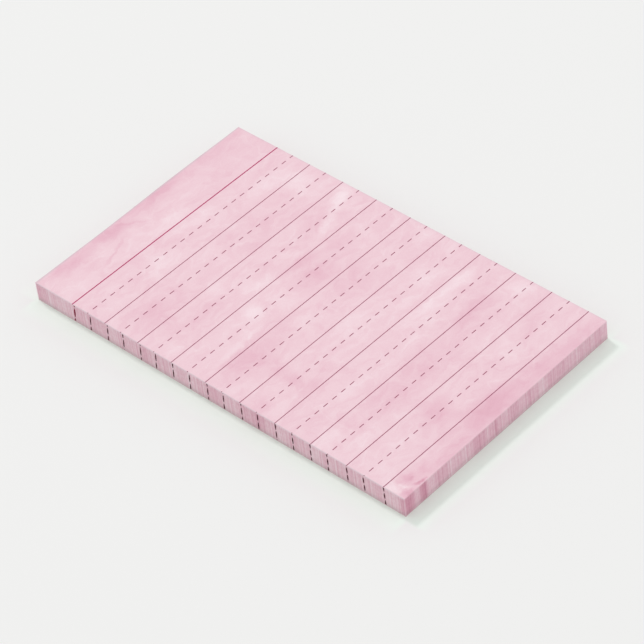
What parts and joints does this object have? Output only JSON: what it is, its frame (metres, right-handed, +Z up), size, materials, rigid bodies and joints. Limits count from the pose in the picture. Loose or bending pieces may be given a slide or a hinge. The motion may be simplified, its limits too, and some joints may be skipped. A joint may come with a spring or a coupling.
{
  "type": "sticky note pad",
  "caption": "Rectangular pad of ruled paper notes that hold together along an adhesive band under the header edge, on a plain backing sheet.",
  "frame": {"origin": "middle of the underside", "axes": "+X across the page, +Y from the free edge to the header edge, +Z up, out of the written face"},
  "size_m": [0.0762, 0.127, 0.006],
  "materials": {
    "note_paper": "uncoated, printed in soft mottled pink",
    "backing_paper": "uncoated, plain off-white",
    "ruling_ink": "matt print, raspberry header rule and plum rules and dashes"
  },
  "bodies": {
    "root": {"note_sheets": "note_paper", "backing_sheet": "backing_paper", "printed_ruling": "ruling_ink"}
  },
  "joints": []
}
